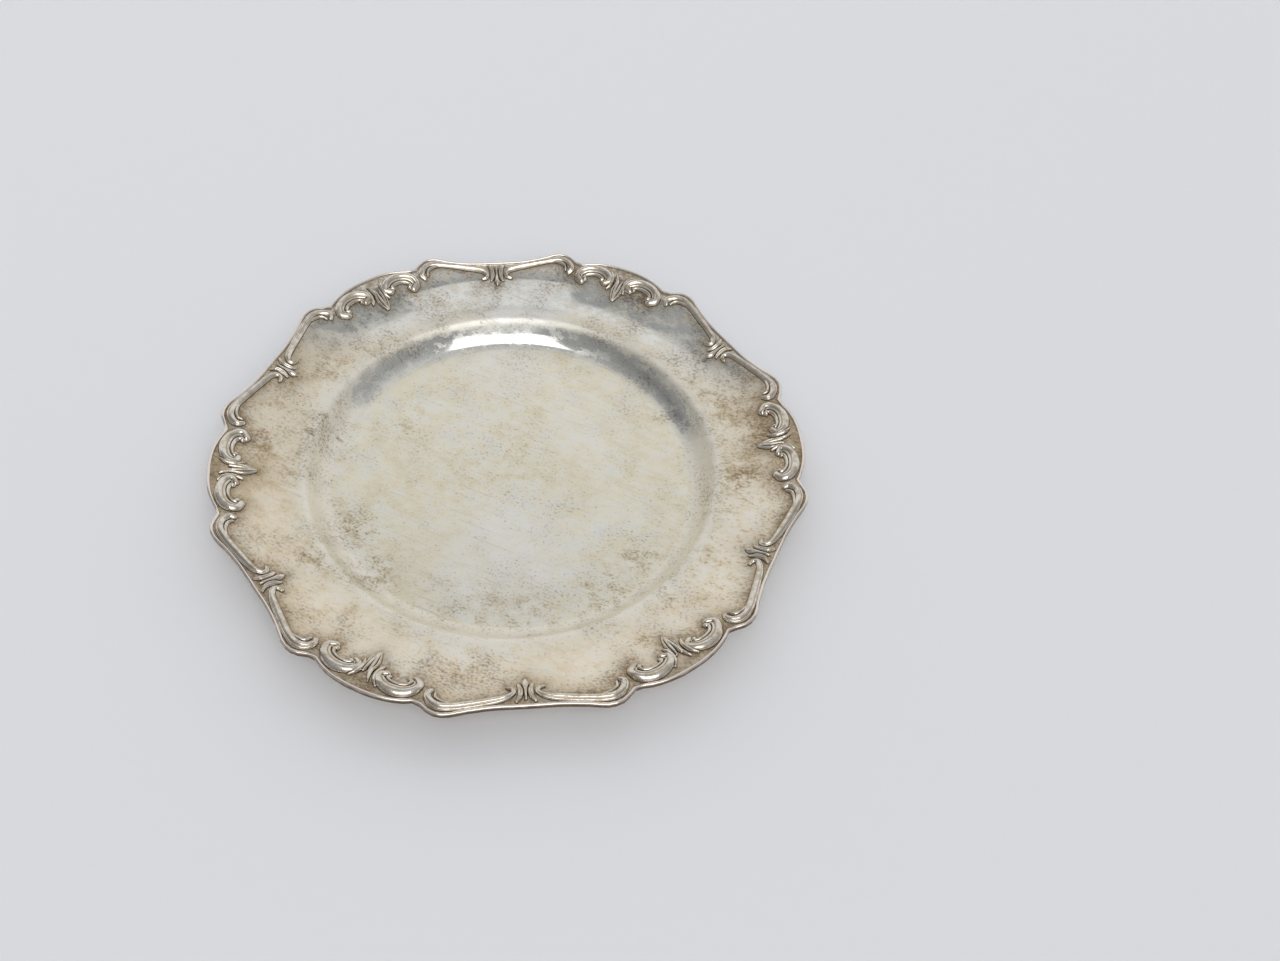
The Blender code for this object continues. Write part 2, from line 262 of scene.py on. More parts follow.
def read_points(mesh):
    """All the points of a mesh as an array."""
    flat = np.empty(len(mesh.vertices) * 3)
    mesh.vertices.foreach_get("co", flat)
    return flat.reshape(-1, 3)


def write_points(mesh, points):
    """Puts the points of a mesh back."""
    mesh.vertices.foreach_set("co", np.ascontiguousarray(points).ravel())
    mesh.update()


print("meshes before any new piece:", len(bpy.data.meshes))

# %% Grow a line of points from the middle and spin it
SEGMENTS = 640
FLOOR_RINGS, BOUGE_RINGS, MARLY_RINGS, BORDER_RINGS = 18, 16, 12, 21
MERGE_DISTANCE = 0.001 * MM
ring_radii = np.concatenate([
    np.linspace(0, FLOOR_RADIUS, FLOOR_RINGS + 1)[1:],
    FLOOR_RADIUS + BOUGE_WIDTH * np.linspace(0, 1, BOUGE_RINGS + 1)[1:],
    np.linspace(FLOOR_RADIUS + BOUGE_WIDTH, FOOT_RADIUS, MARLY_RINGS + 1)[1:],
    np.linspace(FOOT_RADIUS, EDGE_RADIUS - SHEET_EDGE_INSET, BORDER_RINGS + 1)[1:],
])
fine_sheet = new_primitive(bpy.ops.mesh.primitive_plane_add, "fine_sheet", size=MM)
bpy.ops.object.mode_set(mode="EDIT")
bpy.ops.mesh.merge(type="CENTER")
last = 0.0
for radius in ring_radii:
    bpy.ops.mesh.extrude_region_move(TRANSFORM_OT_translate={"value": (float(radius - last), 0, 0)})
    last = radius
bpy.ops.mesh.select_all(action="SELECT")
bpy.ops.mesh.spin(steps=SEGMENTS, angle=2 * math.pi, center=(0, 0, 0), axis=(0, 0, 1))
bpy.ops.mesh.select_all(action="SELECT")
bpy.ops.mesh.remove_doubles(threshold=MERGE_DISTANCE)
bpy.ops.mesh.normals_make_consistent(inside=False)
bpy.ops.object.mode_set(mode="OBJECT")
if fine_sheet.data.polygons[0].normal.z < 0:
    bpy.ops.object.mode_set(mode="EDIT")
    bpy.ops.mesh.flip_normals()
    bpy.ops.object.mode_set(mode="OBJECT")
print("spun sheet:", len(fine_sheet.data.vertices), "points")

# %% Pull the sheet to its lobes and heights
UNEVEN_SIZE = 22 * MM
UNEVEN_HEIGHT = 0.045 * MM
FINER_SIZE = 0.4
FINER_HEIGHT = 0.35
CALM_RADIUS = 6 * MM
CREASE_ANGLE = math.radians(40)


def apply_modifier(piece, kind, **settings):
    """Adds a modifier, sets it and applies it."""
    only(piece)
    modifier = piece.modifiers.new(kind.lower(), kind)
    for name, value in settings.items():
        setattr(modifier, name, value)
    bpy.ops.object.modifier_apply(modifier=modifier.name)


def uneven(point, size, seed):
    """Smooth unevenness from -1 to 1 that changes over about this size."""
    return noise.noise(Vector((point[0] / size, point[1] / size, seed)))


flat = read_points(fine_sheet.data)
radius = np.hypot(flat[:, 0], flat[:, 1])
angle = np.arctan2(flat[:, 1], flat[:, 0])
reach = (outline_radius(angle) - SHEET_EDGE_INSET - FOOT_RADIUS) / (
    EDGE_RADIUS - SHEET_EDGE_INSET - FOOT_RADIUS)
radius = np.where(radius > FOOT_RADIUS, FOOT_RADIUS + (radius - FOOT_RADIUS) * reach, radius)
height = sheet_height(radius, angle)
shaped = np.column_stack([polar(radius, angle), height])
calm = smooth_step(radius / CALM_RADIUS)
for row, (point, share) in enumerate(zip(shaped, calm)):
    beats = uneven(point, UNEVEN_SIZE, seed=3.1)
    beats += FINER_HEIGHT * uneven(point, UNEVEN_SIZE * FINER_SIZE, seed=8.7)
    shaped[row, 2] += share * UNEVEN_HEIGHT * beats
write_points(fine_sheet.data, shaped)
apply_modifier(fine_sheet, "SOLIDIFY", thickness=SHEET_THICKNESS, offset=-1.0)
lowest = read_points(fine_sheet.data)
lowest[:, 2] = np.maximum(lowest[:, 2], 0)
write_points(fine_sheet.data, lowest)
only(fine_sheet)
bpy.ops.object.shade_smooth_by_angle(angle=CREASE_ANGLE)
print("fine sheet:", len(fine_sheet.data.polygons), "faces")

# %% [markdown]
# ## The edge wire
# A drawn wire runs all round the edge. Its top is round and bright, and its outer side hangs down
# over the edge of the sheet as a narrow lip. It starts as a torus, and each point of it keeps its
# place round the wire while the ring is bent to the outline. A little unevenness in height and
# thickness makes the highlight waver as it does on a wire that was soldered down by hand.

# %% Bend a ring of wire to the outline
WIRE_SEGMENTS = 1440
WIRE_SIDES = 16
WIRE_DRAWN_IN = 0.10 * MM
WIRE_SINK = 0.50 * MM
LIP_HEIGHT = 1.5 * MM
WANDER_SIZE, WANDER_HEIGHT = 7 * MM, 0.08 * MM
SWELL_SIZE, SWELL_SHARE = 4 * MM, 0.10
ANGLE_STEP = 0.001
UNDER_LEAN = 1.6
edge_wire = new_primitive(bpy.ops.mesh.primitive_torus_add, "fine_wire",
                          major_segments=WIRE_SEGMENTS, minor_segments=WIRE_SIDES,
                          major_radius=EDGE_RADIUS, minor_radius=WIRE_DIAMETER / 2)
ring = read_points(edge_wire.data)
around = np.arctan2(ring[:, 1], ring[:, 0])
outwards = np.hypot(ring[:, 0], ring[:, 1]) - EDGE_RADIUS


def wire_place(angle):
    """Plan point of the outline at an angle."""
    return polar(outline_radius(angle), angle)


def write_shade(mesh, name, values):
    """Keeps one number for each point, which a material can read."""
    attribute = mesh.attributes.get(name) or mesh.attributes.new(name, "FLOAT", "POINT")
    attribute.data.foreach_set("value", np.asarray(values, np.float32))


along = wire_place(around + ANGLE_STEP) - wire_place(around - ANGLE_STEP)
along /= np.linalg.norm(along, axis=1)[:, None]
side = np.column_stack([along[:, 1], -along[:, 0]])
middle = wire_place(around) - side * (WIRE_DIAMETER / 2 + WIRE_DRAWN_IN)
wander = np.array([uneven(point, WANDER_SIZE, seed=5.5) for point in middle])
swell = 1 + SWELL_SHARE * np.array([uneven(point, SWELL_SIZE, seed=2.2) for point in middle])
lip = LIP_HEIGHT * smooth_step(-ring[:, 2] / (0.5 * WIRE_DIAMETER))
bent = np.column_stack([
    middle + side * (outwards * swell)[:, None],
    cone_height(np.hypot(middle[:, 0], middle[:, 1])) - WIRE_SINK
    + ring[:, 2] * swell + wander * WANDER_HEIGHT - lip,
])
write_points(edge_wire.data, bent)
# The outer, lower side kept here is darkened in the wire's colour: tarnish, and painted shade.
write_shade(edge_wire.data, "under", (outwards - UNDER_LEAN * ring[:, 2]) / WIRE_DIAMETER)
print("the wire and its lip are", round((WIRE_DIAMETER + LIP_HEIGHT) / MM, 1), "mm high")
only(edge_wire)
bpy.ops.object.shade_smooth()
print("edge wire:", len(edge_wire.data.polygons), "faces")

# %% [markdown]
# ## Strokes of the struck border
# The border was struck in a die, so it is a relief without undercuts. Each piece starts as a fine
# flat grid, and its points are lifted by strokes: lines with a width, a height, a lean to one side
# and sometimes a groove. Where strokes meet, the higher one wins, with a small fillet. Modelled so,
# the strokes run together as struck metal does, which joined tubes would not.

# %% Find the nearest place on a stroke
GRID_STEP = 0.13 * MM


def along_stroke(points, line):
    """For each point: the distance to the line, the signed side, and the nearest row's number."""
    start, end = line[:-1, :2], line[1:, :2]
    step = end - start
    length = np.maximum((step ** 2).sum(1), 1e-18)
    best = np.full(len(points), np.inf)
    across = np.zeros(len(points))
    place = np.zeros(len(points))
    for index in range(len(start)):
        offset = points - start[index]
        share = np.clip(offset @ step[index] / length[index], 0, 1)
        gap = offset - share[:, None] * step[index]
        distance = np.hypot(gap[:, 0], gap[:, 1])
        nearer = distance < best
        best = np.where(nearer, distance, best)
        normal = np.array([-step[index][1], step[index][0]]) / math.sqrt(length[index])
        across = np.where(nearer, gap @ normal, across)
        place = np.where(nearer, index + share, place)
    return best, across, place


print("a relief has a point every", round(GRID_STEP / MM, 2), "mm")

# %% Lift points by strokes
NARROW_POWER = 0.6
BESIDE_SLOPE = 1.6
FILLET = 0.10 * MM


def stroke_height(points, line, height, lean=0.0, groove=0.0, groove_place=0.0, groove_width=0.3,
                  round_power=0.8):
    """Heights that one stroke lifts the points to. Each row of the line is x, y, half width.
    Beside the stroke the height falls evenly below zero, so it also tells the distance."""
    distance, across, place = along_stroke(points, line)
    half_width = np.interp(place, np.arange(len(line)), line[:, 2])
    outward = distance / half_width
    sideways = across / half_width
    inside = np.clip(1 - outward ** 2, 0, 1) ** round_power
    top = height * (half_width / line[:, 2].max()) ** NARROW_POWER
    lifted = top * inside * (1 + lean * sideways)
    lifted -= groove * top * np.exp(-((sideways - groove_place) / groove_width) ** 2) * inside
    below = -(outward - 1) * half_width * BESIDE_SLOPE
    return np.where(outward < 1, lifted, below)


def blend_highest(heights, fillet=FILLET):
    """The highest of several height fields, with a small fillet where two meet."""
    result = heights[0]
    for other in heights[1:]:
        near = np.clip(0.5 + 0.5 * (other - result) / fillet, 0, 1)
        result = result * (1 - near) + other * near + fillet * near * (1 - near)
    return result


def share_line(shares, width, side=1, turn=0.0, per_span=6):
    """A stroke's rows from shares of the half angle and of the radius."""
    rows = smooth_path(shares, per_span)
    angle = side * rows[:, 0] * HALF_ANGLE - turn
    radius = rows[:, 1] * EDGE_RADIUS
    return np.column_stack([radius * np.cos(angle), radius * np.sin(angle),
                            rows[:, 2] * width / 2])


print("strokes meet in a fillet of", round(FILLET / MM, 2), "mm")

# %% Find the hollows of a relief
HOLLOW_ROUNDS = 30


def write_hollow(mesh):
    """How far each point lies below its surroundings, from the averages of its neighbours."""
    points = read_points(mesh)
    ends = np.empty(len(mesh.edges) * 2, int)
    mesh.edges.foreach_get("vertices", ends)
    first, second = ends.reshape(-1, 2).T
    count = np.bincount(ends, minlength=len(points))
    around_height = points[:, 2].copy()
    for _ in range(HOLLOW_ROUNDS):
        total = np.bincount(first, around_height[second], len(points))
        total += np.bincount(second, around_height[first], len(points))
        around_height = 0.5 * around_height + 0.5 * total / np.maximum(count, 1)
    write_shade(mesh, "hollow", (around_height - points[:, 2]) / MM)


print("hollows are found against about", round(HOLLOW_ROUNDS ** 0.5 * GRID_STEP / MM, 1),
      "mm of surroundings")

# %% Turn a relief into a closed piece
SINK = 0.12 * MM
TRIM_DEPTH = 1.6 * SINK


def select_points(mesh, chosen):
    """Selects these points of a mesh, and nothing else, before edit mode is entered."""
    bpy.context.tool_settings.mesh_select_mode = (True, False, False)
    mesh.polygons.foreach_set("select", np.zeros(len(mesh.polygons), bool))
    mesh.edges.foreach_set("select", np.zeros(len(mesh.edges), bool))
    mesh.vertices.foreach_set("select", np.asarray(chosen, bool))


def struck_piece(name, middle_radius, length, width, relief):
    """A grid lifted by a relief, trimmed to it and closed underneath."""
    piece = new_primitive(bpy.ops.mesh.primitive_grid_add, name, size=1.0,
                          x_subdivisions=round(length / GRID_STEP),
                          y_subdivisions=round(width / GRID_STEP))
    bpy.ops.object.mode_set(mode="EDIT")
    bpy.ops.mesh.select_all(action="SELECT")
    bpy.ops.transform.resize(value=(length, width, 1))
    bpy.ops.transform.translate(value=(middle_radius, 0, 0))
    bpy.ops.object.mode_set(mode="OBJECT")
    points = read_points(piece.data)
    lifted = relief(points[:, :2])
    points[:, 2] = np.maximum(lifted, -SINK)
    write_points(piece.data, points)
    write_shade(piece.data, "lift", points[:, 2] / MM)
    select_points(piece.data, lifted < -TRIM_DEPTH)
    bpy.ops.object.mode_set(mode="EDIT")
    bpy.ops.mesh.delete(type="VERT")
    bpy.ops.mesh.select_all(action="SELECT")
    bpy.ops.mesh.vertices_smooth(factor=0.5, repeat=1)
    bpy.ops.mesh.select_all(action="SELECT")
    bpy.ops.mesh.region_to_loop()
    bpy.ops.mesh.extrude_edges_move(TRANSFORM_OT_translate={"value": (0, 0, -2 * SINK)})
    bpy.ops.mesh.fill(use_beauty=False)
    bpy.ops.mesh.select_all(action="SELECT")
    bpy.ops.mesh.normals_make_consistent(inside=False)
    bpy.ops.object.mode_set(mode="OBJECT")
    write_hollow(piece.data)
    return piece


print("a relief is trimmed", round(TRIM_DEPTH / MM, 2), "mm below its foot")

# %% Seat a piece on the sheet
def seat(name, pattern, axis):
    """A copy of a pattern with its own mesh, set on the sheet about an axis."""
    copy = pattern.copy()
    copy.data = pattern.data.copy()
    copy.name = name
    copy.data.name = name
    bpy.context.scene.collection.objects.link(copy)
    points = read_points(copy.data)
    radius = np.hypot(points[:, 0], points[:, 1])
    angle = axis + np.arctan2(points[:, 1], points[:, 0])
    plan = polar(radius, angle)
    write_points(copy.data, np.column_stack([plan, points[:, 2] + sheet_height(radius, angle)]))
    return copy


print("a piece is seated in one of", 2 * REPEATS, "places laid out by hand")

# %% [markdown]
# ## The cartouche
# On each lobe two C-shaped scrolls face each other. Each has a thick rolled back, a hollow and a
# thin lip inside it. Between them hangs a leaf of two drops, with a husk on either side. All six
# cartouches came from one die, so one is modelled as a pattern and copied to each lobe. A scroll's
# line is worked out as an arch, because points set by eye would leave flats in its curve.

# %% The line of a scroll
SCROLL_AXIS_SHARE = 0.204
SCROLL_FOOT_SHARE = 0.914
SCROLL_HALF_SPAN = 7.0 * MM
SCROLL_RISE = 4.5 * MM
SCROLL_OVERTURN = math.radians(18)
LIP_OVERTURN = math.radians(8)
END_SHRINK = 0.22
OUTER_REACH, OUTER_POWER = 1.4 * MM, 4


def scroll_line(side, width, inset, overturn, ends, steps=40):
    """An arch open towards the middle of the tray, with both ends turned in."""
    foot = SCROLL_FOOT_SHARE * EDGE_RADIUS
    along = np.linspace(0, 1, steps)
    turn = (math.pi + 2 * overturn) * along - overturn
    over = np.maximum(np.maximum(-turn, turn - math.pi), 0) / SCROLL_OVERTURN
    size = 1 - END_SHRINK * over
    radius = foot + (SCROLL_RISE - inset) * size * np.sin(turn)
    radius -= OUTER_REACH * (1 - along) ** OUTER_POWER
    reach = (SCROLL_HALF_SPAN - inset) * size * np.cos(turn) / foot
    angle = side * (SCROLL_AXIS_SHARE * HALF_ANGLE + reach)
    swell = np.interp(along, [0, 0.15, 0.5, 0.85, 1], ends)
    return np.column_stack([radius * np.cos(angle), radius * np.sin(angle), swell * width / 2])


print("a scroll spans", round(2 * SCROLL_HALF_SPAN / MM), "mm")

# %% Strike the cartouche
# Each row of a stroke is a share of half a lobe's angle, a share of the edge's radius, and a width.
HUSK_SHARES = [(0.090, 0.959, 0.50), (0.066, 0.941, 0.95), (0.056, 0.919, 1.10),
               (0.060, 0.898, 0.95), (0.073, 0.884, 0.50)]
STEM_SHARES = [(0.036, 0.955, 0.50), (0.022, 0.938, 0.85), (0.014, 0.918, 0.95),
               (0.016, 0.893, 0.80)]
DROP_SHARES = [(0.020, 0.925, 0.55), (0.020, 0.906, 0.95), (0.019, 0.886, 1.10),
               (0.012, 0.864, 0.95), (0.003, 0.845, 0.50)]
LEAF_CENTRE_SHARE = -0.012


def cartouche_relief(points):
    """Heights of the two scrolls, the leaf and the husks."""
    stem = share_line(STEM_SHARES, width=1.9 * MM)
    heights = [stroke_height(points, stem, height=1.1 * MM)]
    for side in (1, -1):
        drop = share_line([(side * angle + LEAF_CENTRE_SHARE, radius, width)
                           for angle, radius, width in DROP_SHARES], width=2.8 * MM)
        heights.append(stroke_height(points, drop, height=1.6 * MM, lean=0.15 * side,
                                     groove=0.35, groove_place=-0.25 * side,
                                     groove_width=0.16, round_power=0.65))
        husk = share_line(HUSK_SHARES, width=2.2 * MM, side=side)
        heights.append(stroke_height(points, husk, height=1.35 * MM, lean=0.2 * side))
        back = scroll_line(side, width=5.0 * MM, inset=0, overturn=SCROLL_OVERTURN,
                           ends=[0.74, 0.86, 1.0, 0.84, 0.60])
        heights.append(stroke_height(points, back, height=1.85 * MM, lean=0.10 * side,
                                     groove=0.25, groove_place=-0.42 * side,
                                     groove_width=0.24, round_power=0.65))
        lip = scroll_line(side, width=2.0 * MM, inset=2.8 * MM, overturn=LIP_OVERTURN,
                          ends=[1.3, 0.95, 0.9, 0.9, 1.1])
        heights.append(stroke_height(points, lip, height=1.35 * MM))
    return blend_highest(heights)


cartouche_pattern = struck_piece("cartouche_pattern", middle_radius=106.5 * MM,
                                 length=19 * MM, width=45 * MM, relief=cartouche_relief)
print("cartouche:", len(cartouche_pattern.data.polygons), "faces")

# %% [markdown]
# ## The bars
# A long bar runs from a hook beside each cartouche to a small volute beside each palmette. It is
# struck with a round back and a narrow groove along its outer side. The right bar is the left
# one's mirror image, so it is a mirrored copy, with its normals turned outwards again.

# %% Strike the bar
BAR_SHARES = [(0.885, 0.878, 0.45), (0.915, 0.883, 0.56), (0.922, 0.896, 0.62),
              (0.895, 0.910, 0.72), (0.845, 0.920, 0.84), (0.750, 0.933, 0.92),
              (0.650, 0.948, 0.95), (0.567, 0.961, 1.00), (0.503, 0.967, 1.05),
              (0.452, 0.962, 1.02), (0.416, 0.948, 0.90), (0.402, 0.930, 0.76),
              (0.416, 0.917, 0.58)]
BAR_LIP_SHARES = [(0.560, 0.953, 0.70), (0.500, 0.951, 1.00), (0.458, 0.941, 1.00),
                  (0.446, 0.924, 0.70)]
BAR_MIDDLE_SHARE = 0.66


def bar_relief(points):
    """Heights of the bar and of the lip inside its hook."""
    turn = BAR_MIDDLE_SHARE * HALF_ANGLE
    bar = share_line(BAR_SHARES, width=3.7 * MM, turn=turn)
    lip = share_line(BAR_LIP_SHARES, width=1.7 * MM, turn=turn)
    return blend_highest([
        stroke_height(points, bar, height=1.6 * MM, lean=0.12, groove=0.28,
                      groove_place=0.42, groove_width=0.20, round_power=0.75),
        stroke_height(points, lip, height=1.05 * MM),
    ])


left_bar_pattern = struck_piece("left_bar_pattern", middle_radius=108 * MM,
                                length=18 * MM, width=37 * MM, relief=bar_relief)
right_bar_pattern = left_bar_pattern.copy()
right_bar_pattern.data = left_bar_pattern.data.copy()
right_bar_pattern.name = "right_bar_pattern"
bpy.context.scene.collection.objects.link(right_bar_pattern)
only(right_bar_pattern)
bpy.ops.object.mode_set(mode="EDIT")
bpy.ops.mesh.select_all(action="SELECT")
bpy.ops.transform.resize(value=(1, -1, 1), center_override=(0, 0, 0))
bpy.ops.mesh.normals_make_consistent(inside=False)
bpy.ops.object.mode_set(mode="OBJECT")
print("bar:", len(left_bar_pattern.data.polygons), "faces")

# %% [markdown]
# ## The palmette
# Half way between two cartouches the volutes of two bars frame a small bud on a stem, with a
# curved petal on either side. It is struck in the same way, and each piece is then seated on the
# sheet by its height there, so that none floats and none sinks in.

# %% Strike the palmette
BUD_SHARES = [(0, 0.921, 0.42), (0, 0.897, 0.50), (0, 0.873, 0.80), (0, 0.860, 1.00),
              (0, 0.848, 0.60), (0, 0.842, 0.20)]
PETAL_SHARES = [(0.058, 0.929, 0.60), (0.036, 0.910, 1.00), (0.033, 0.885, 1.05),
                (0.048, 0.866, 0.55)]


def palmette_relief(points):
    """Heights of the bud and its two petals."""
    bud = share_line(BUD_SHARES, width=3.0 * MM)
    heights = [stroke_height(points, bud, height=1.45 * MM)]
    for side in (1, -1):
        petal = share_line(PETAL_SHARES, width=2.3 * MM, side=side)
        heights.append(stroke_height(points, petal, height=1.3 * MM, groove=0.30,
                                     groove_width=0.22))
    return blend_highest(heights)


palmette_pattern = struck_piece("palmette_pattern", middle_radius=104 * MM,
                                length=13 * MM, width=10 * MM, relief=palmette_relief)
print("palmette:", len(palmette_pattern.data.polygons), "faces")

# %% Set the border pieces round the tray
bar_turn = BAR_MIDDLE_SHARE * HALF_ANGLE
patterns = (
    ("cartouche", cartouche_pattern, 0.0),
    ("palmette", palmette_pattern, HALF_ANGLE),
    ("left_bar", left_bar_pattern, bar_turn),
    ("right_bar", right_bar_pattern, -bar_turn),
)
border = []
for number in range(REPEATS):
    lobe_axis = FIRST_AXIS + number * 2 * HALF_ANGLE
    for name, pattern, turn in patterns:
        node = f"{name}_{number + 1}"
        piece = seat(f"struck_{node}", pattern, lobe_axis + turn)
        only(piece)
        bpy.ops.object.shade_smooth()
        border.append((node, piece))
for _, pattern, _ in patterns:
    bpy.data.objects.remove(pattern)
print("border pieces:", len(border))

# %% [markdown]
# ## Where dirt, wear and painted shade gather
# Polish never reaches the foot of a relief, so brown dirt stays there, and the colour there is also
# darkened as painted shade. The photograph also shows where the sheet was rubbed clean, and a few
# brown stains. These places are kept as numbers on the points of the sheet, and the material breaks
# them up. Each stain or pale place is a soft round mark: how far right and how far up from the
# middle in millimetres, its size, and its strength.

# %% The places of stains and pale marks
MARKS = {
    "stain": [(-75, -16, 11, 1.0), (-76, -2, 8, 0.7), (-44, -50, 12, 0.7), (-29, -66, 12, 0.7),
              (62, -15, 9, 0.6), (54, -34, 13, 0.6), (17, -61, 13, 0.4), (87, 32, 9, 0.9),
              (92, 26, 26, 0.55), (76, 60, 22, 0.50), (96, -12, 22, 0.45), (36, -57, 13, 0.5),
              (-90, -20, 26, 0.30), (-12, 10, 30, 0.25), (45, 82, 16, 0.7), (62, 72, 12, 0.7),
              (-84, 36, 15, 0.6),
              (80, -31, 7, 0.9), (24, -96, 12, 0.6), (85, 59, 8, 0.7), (9, 105, 9, 0.9),
              (-93, -35, 9, 0.7), (-46, -75, 7, 0.8), (-73, -40, 8, 0.5), (83, -52, 9, 0.6),
              (42, 58, 6, 0.6), (-2, -105, 7, 0.8), (-55, 7, 12, 0.4), (-90, 10, 9, 0.6)],
    "pale": [(14, -36, 26, 0.9), (-31, 53, 20, 0.9), (-44, 76, 15, 0.9), (-30, 88, 15, 0.9),
             (20, 40, 22, 0.3)],
}
print("marks on the sheet:", {name: len(marks) for name, marks in MARKS.items()})

# %% Dirt and painted shade beside the border
DIRT_AND_SHADE_REACH = 4.8 * MM
DIRT_AND_SHADE_SEARCH = 14 * MM
OUTER_FIELD_START, OUTER_FIELD_WIDTH = 0.93 * EDGE_RADIUS, 0.03 * EDGE_RADIUS
OUTER_FIELD_DIRT_AND_SHADE = 0.95


def nearest_relief(radius, angle):
    """Height of the border's strokes at each place; below zero it tells the distance to them."""
    turned = angle - FIRST_AXIS
    lobe = turned - np.round(turned / (2 * HALF_ANGLE)) * 2 * HALF_ANGLE
    gap = np.abs(lobe) - HALF_ANGLE
    bar = np.abs(lobe) - BAR_MIDDLE_SHARE * HALF_ANGLE
    return np.max([
        relief(np.column_stack([radius * np.cos(place), radius * np.sin(place)]))
        for relief, place in ((cartouche_relief, lobe), (palmette_relief, gap), (bar_relief, bar))
    ], axis=0)


placed = read_points(fine_sheet.data)
count = len(flat)
# The sheet is darkened at the foot of the border strokes: dirt, and painted shade.
dirt_and_shade = np.zeros(len(placed))
at_border = radius > FOOT_RADIUS - DIRT_AND_SHADE_SEARCH
beside = nearest_relief(radius[at_border], angle[at_border])
dirt_and_shade[:count][at_border] = np.exp(np.minimum(beside, 0) / DIRT_AND_SHADE_REACH)
# The field between the border and the wire is darkened too: dirt, and painted shade.
outer_field = fade(radius, OUTER_FIELD_START, OUTER_FIELD_WIDTH)
dirt_and_shade[:count] = np.maximum(dirt_and_shade[:count], OUTER_FIELD_DIRT_AND_SHADE * outer_field)
write_shade(fine_sheet.data, "dirt_and_shade", dirt_and_shade)
print("points beside the border:", int(at_border.sum()))

# %% The wall, and the far places that were rubbed clean
# The photograph shows the far rim and the far wall rubbed clean, so that they mirror the room.
WALL_FADE = 2 * MM
BARE_FADE = 3 * MM
FAR_RIM_START, FAR_RIM_FADE = 40 * MM, 25 * MM
FAR_WALL_START, FAR_WALL_FADE = 25 * MM, 11 * MM
FAR_WALL_STRENGTH = 1.4
MARLY_FADE = 8 * MM
marly_start = FLOOR_RADIUS + BOUGE_WIDTH
away = placed[:, 1] * math.cos(CAMERA_YAW) - placed[:, 0] * math.sin(CAMERA_YAW)
plan = np.hypot(placed[:, 0], placed[:, 1])
on_wall = fade(plan, FLOOR_RADIUS, WALL_FADE) * (1 - fade(plan, marly_start, WALL_FADE))
bare_wall = fade(plan, FLOOR_RADIUS + WALL_FADE / 2, WALL_FADE) * (
    1 - fade(plan, FLOOR_RADIUS + COVE_WIDTH - BARE_FADE / 2, BARE_FADE))
far_rim = fade(away, FAR_RIM_START, FAR_RIM_FADE) * fade(plan, marly_start, MARLY_FADE)
far_wall = FAR_WALL_STRENGTH * bare_wall * fade(away, FAR_WALL_START, FAR_WALL_FADE)
write_shade(fine_sheet.data, "clean", np.maximum(far_rim, far_wall))
write_shade(fine_sheet.data, "wall", on_wall)
print("points rubbed clean:", int((np.maximum(far_rim, far_wall) > 0.5).sum()))

# %% Stains and pale marks
MARK_REACH = 1.4
for name, marks in MARKS.items():
    shade = np.zeros(len(placed))
    for across, up, size, strength in marks:
        distance = np.hypot(placed[:, 0] - across * MM, placed[:, 1] - up * MM) / (size * MM)
        shade = np.maximum(shade, strength * smooth_step(MARK_REACH - distance))
    write_shade(fine_sheet.data, name, shade)
print("a mark fades out at", MARK_REACH, "times its size")

# %% [markdown]
# ## Old silver
# Silver is almost white and mirror bright where it is rubbed clean. Where it isn't, a thin film of
# tarnish turns it yellow-grey and dulls it, and in hollows the film grows brown, with painted shade
# added there. A painted picture could show all that, but it would blur from near. Noise patterns
# with sizes in millimetres, steered by the numbers kept on the points, stay sharp from any side.

# %% Colours and a helper for nodes
def linear(hex_colour):
    """A linear colour with alpha, from an sRGB hex value."""
    parts = [int(hex_colour[i:i + 2], 16) / 255 for i in (1, 3, 5)]
    return tuple(p / 12.92 if p <= 0.04045 else ((p + 0.055) / 1.055) ** 2.4
                 for p in parts) + (1.0,)


def add_node(tree, kind, inputs=None, stops=None, **settings):
    """Adds a node, sets it, and sets or links its inputs. A node as an input gives its result."""
    node = tree.nodes.new("ShaderNode" + kind)
    for name, value in settings.items():
        setattr(node, name, value)
    if stops:
        ramp = node.color_ramp.elements
        ramp[0].position, ramp[0].color = stops[0]
        ramp[1].position, ramp[1].color = stops[-1]
        for place, colour in stops[1:-1]:
            ramp.new(place).color = colour
    for socket, value in (inputs or {}).items():
        if isinstance(value, bpy.types.Node):
            value = next(output for output in value.outputs if output.enabled)
        if isinstance(value, bpy.types.NodeSocket):
            tree.links.new(value, node.inputs[socket])
        else:
            node.inputs[socket].default_value = value
    return node


def new_material(name):
    """An empty node material, and its tree."""
    material = bpy.data.materials.new(name)
    material.use_nodes = True
    material.node_tree.nodes.clear()
    return material, material.node_tree


print("white paper in linear light:", [round(part, 3) for part in linear("#eeeff3")[:3]])

# %% [markdown]
# ## Tarnished silver sheet
# A thin yellow-grey film lies over the whole sheet, finely mottled. It dulls the silver to satin, so
# the room shows only as soft tones. Where the film is rubbed off the silver mirrors the room. Wide
# clouds, a mottle and a fine grain make it up, and the finer two are drawn out a little, as a cloth
# leaves them.

